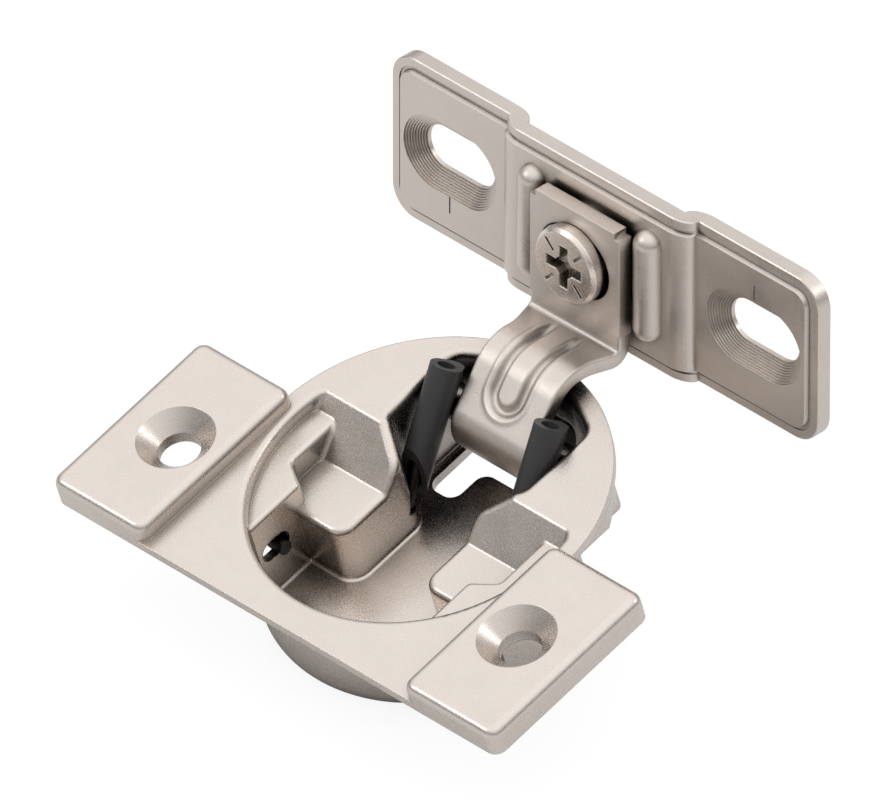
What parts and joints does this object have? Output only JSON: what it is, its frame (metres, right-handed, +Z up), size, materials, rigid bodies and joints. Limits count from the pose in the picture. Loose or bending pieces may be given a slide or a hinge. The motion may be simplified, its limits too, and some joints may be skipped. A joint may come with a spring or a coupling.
{
  "type": "concealed cabinet hinge",
  "caption": "Sprung concealed cabinet hinge: drawn steel cup with screw ears, cranked arm turning on a pin, slotted mounting plate with a cam screw.",
  "frame": {"origin": "middle of the mounting plate's back face, which lies against the cabinet, between its two screw slots", "axes": "+X along the hinge pin and the plate's length, +Y into the cabinet, +Z up along the plate's height; the cup hangs in front, open"},
  "size_m": [0.0584, 0.0456, 0.0402],
  "materials": {
    "plate_steel": "satin nickel plated steel",
    "arm_steel": "satin nickel plated steel",
    "cup_steel": "satin nickel plated steel",
    "screw_steel": "nickel plated turned steel",
    "pin_steel": "plain drawn steel",
    "spring_steel": "dark oiled spring wire",
    "sleeve_plastic": "dark grey moulded plastic"
  },
  "bodies": {
    "plate": {"mounting_plate": "plate_steel"},
    "screw": {"cam_screw": "screw_steel"},
    "arm": {"arm": "arm_steel"},
    "cup": {"cup": "cup_steel", "hinge_pin": "pin_steel", "spring_left": "spring_steel", "spring_right": "spring_steel", "sleeve_left": "sleeve_plastic", "sleeve_right": "sleeve_plastic"}
  },
  "joints": [
    {"name": "cam_turn", "type": "hinge", "parent": "plate", "child": "screw", "pos_m": [0, 0, 0.0004], "axis": [0, 1, 0], "range_deg": [-40, 40]},
    {"name": "height_slide", "type": "slide", "parent": "plate", "child": "arm", "axis": [0, 0, 1], "range_m": [-0.0006, 0.0006]},
    {"name": "door_hinge", "type": "hinge", "parent": "arm", "child": "cup", "pos_m": [0, -0.01358, -0.01526], "axis": [1, 0, 0], "range_deg": [-107, 0]}
  ],
  "couplings": [
    {"joint": "cam_turn", "follows": "height_slide", "rad_per_m": 1149.4}
  ]
}
